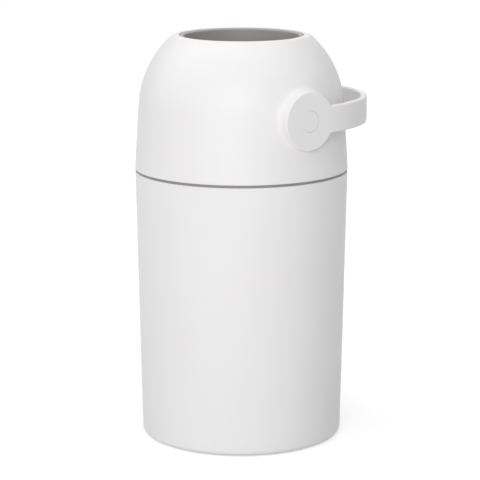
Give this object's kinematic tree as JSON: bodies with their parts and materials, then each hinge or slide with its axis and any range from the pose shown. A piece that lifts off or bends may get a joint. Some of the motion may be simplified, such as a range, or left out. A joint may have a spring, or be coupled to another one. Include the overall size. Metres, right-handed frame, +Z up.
{
  "type": "nappy bin",
  "caption": "Tall round nappy bin with a lift-off domed head. Its handle swings over the top to turn a drum with a sliding piston, which tips the nappy into the bag.",
  "frame": {"origin": "centre of the base, on the floor", "axes": "+Z up along the body's axis; the handle's axis lies along Y, its front end plate faces -Y, and the grip rests on the +X side"},
  "size_m": [0.2772, 0.2552, 0.4748],
  "materials": {
    "white_plastic": "smooth satin moulded plastic",
    "grey_plastic": "fine matt moulded plastic",
    "pale_plastic": "smooth satin moulded plastic",
    "soft_rubber": "matt rubber",
    "bush_plastic": "smooth self-lubricating plastic",
    "steel": "zinc-plated"
  },
  "bodies": {
    "bin": {"bin_shell": "white_plastic", "foot_ring": "soft_rubber"},
    "bag_ring": {"bag_ring": "grey_plastic"},
    "head": {"head_shell": "white_plastic", "upper_housing": "grey_plastic", "lower_housing": "grey_plastic", "upper_wiper_seal": "soft_rubber", "lower_wiper_seal": "soft_rubber", "head_gasket": "soft_rubber", "front_bush": "bush_plastic", "back_bush": "bush_plastic", "housing_screws": "steel", "deck_screws": "steel"},
    "drum": {"handle": "white_plastic", "front_hub_plug": "white_plastic", "back_hub_plug": "white_plastic", "handle_screws": "steel", "drum_sleeve": "pale_plastic", "drum_front_shell": "pale_plastic", "drum_back_shell": "pale_plastic", "drum_upper_ring": "pale_plastic", "drum_lower_ring": "pale_plastic"},
    "piston": {"piston_upper_cap": "pale_plastic", "piston_lower_cap": "pale_plastic", "piston_weight": "steel", "piston_seal": "soft_rubber"}
  },
  "joints": [
    {"name": "ring_lift", "type": "slide", "parent": "bin", "child": "bag_ring", "axis": [0, 0, 1], "range_m": [0, 0.06]},
    {"name": "head_lift", "type": "slide", "parent": "bag_ring", "child": "head", "axis": [0, 0, 1], "range_m": [0, 0.15]},
    {"name": "handle_turn", "type": "hinge", "parent": "head", "child": "drum", "pos_m": [0, 0, 0.3878], "axis": [0, -1, 0], "range_deg": [0, 180]},
    {"name": "piston_slide", "type": "slide", "parent": "drum", "child": "piston", "axis": [0, 0, 1], "range_m": [0, 0.0655]}
  ]
}
